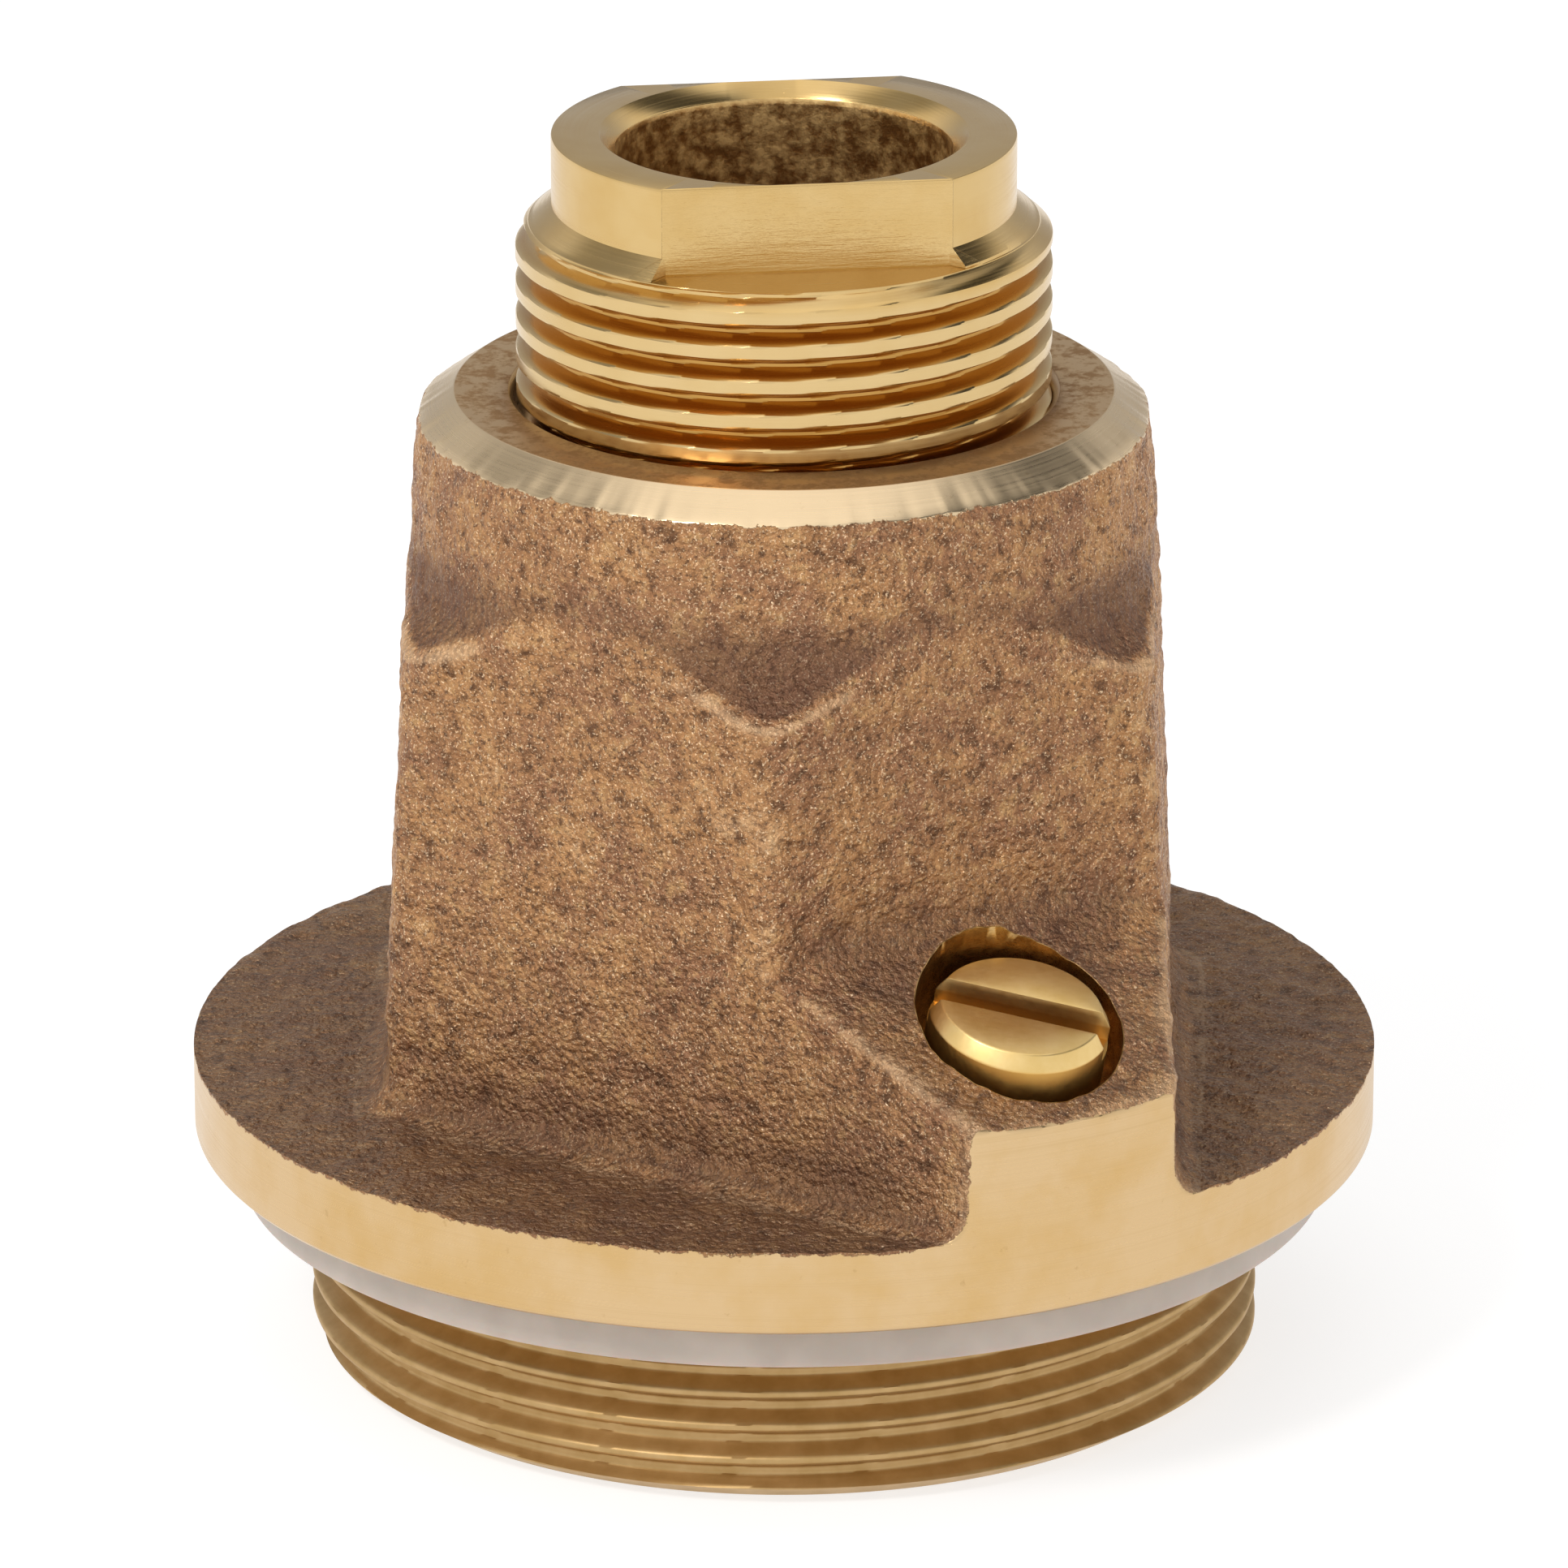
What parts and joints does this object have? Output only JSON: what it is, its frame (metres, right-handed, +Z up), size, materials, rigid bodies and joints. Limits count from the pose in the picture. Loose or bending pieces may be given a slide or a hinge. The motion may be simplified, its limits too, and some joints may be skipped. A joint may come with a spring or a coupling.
{
  "type": "thru hull gland fitting",
  "caption": "Cast bronze thru-hull gland: screwed spigot, flange and hexagon, with a threaded brass sleeve that screws down on a packed box, and a slotted vent screw.",
  "frame": {"origin": "centre of the spigot's lower end face, the fitting's lowest point", "axes": "+Z up the shaft axis towards the sleeve's mouth; -Y is the front, and the vent boss lies 28.6 degrees round from -Y towards +X"},
  "size_m": [0.075, 0.075, 0.0796],
  "materials": {
    "cast_bronze": "sand-cast bronze, rough and brown, with bright machined faces",
    "bearing_bronze": "turned bearing bronze",
    "packing": "greased square braid",
    "spring_wire": "drawn stainless wire",
    "brass": "turned brass with milled flats",
    "gasket": "plain translucent white polymer",
    "screw_brass": "turned brass, slotted",
    "seal": "black sealing washer"
  },
  "bodies": {
    "housing": {"gland_housing": "cast_bronze", "neck_bush": "bearing_bronze", "packing_ring_1": "packing", "packing_ring_2": "packing", "packing_ring_3": "packing", "packing_ring_4": "packing", "flange_gasket": "gasket"},
    "follower": {"gland_follower": "bearing_bronze", "follower_snap_ring": "spring_wire"},
    "sleeve": {"gland_sleeve": "brass"},
    "vent_seal": {"vent_screw_seal": "seal"},
    "vent": {"vent_screw": "screw_brass"}
  },
  "joints": [
    {"name": "gland_travel", "type": "slide", "parent": "housing", "child": "follower", "axis": [0, 0, 1], "range_m": [0, 0.01104]},
    {"name": "gland_turn", "type": "hinge", "parent": "follower", "child": "sleeve", "pos_m": [0, 0, 0.06], "axis": [0, 0, 1], "range_deg": [0, 1800]},
    {"name": "vent_travel", "type": "slide", "parent": "housing", "child": "vent_seal", "axis": [0.14, -0.2567, 0.9563], "range_m": [0, 0.00635]},
    {"name": "vent_turn", "type": "hinge", "parent": "vent_seal", "child": "vent", "pos_m": [0.01455, -0.02669, 0.03186], "axis": [0.14, -0.2567, 0.9563], "range_deg": [0, 1800]}
  ],
  "couplings": [
    {"joint": "gland_turn", "follows": "gland_travel", "rad_per_m": 2844.7},
    {"joint": "vent_turn", "follows": "vent_travel", "rad_per_m": 4947.4}
  ]
}
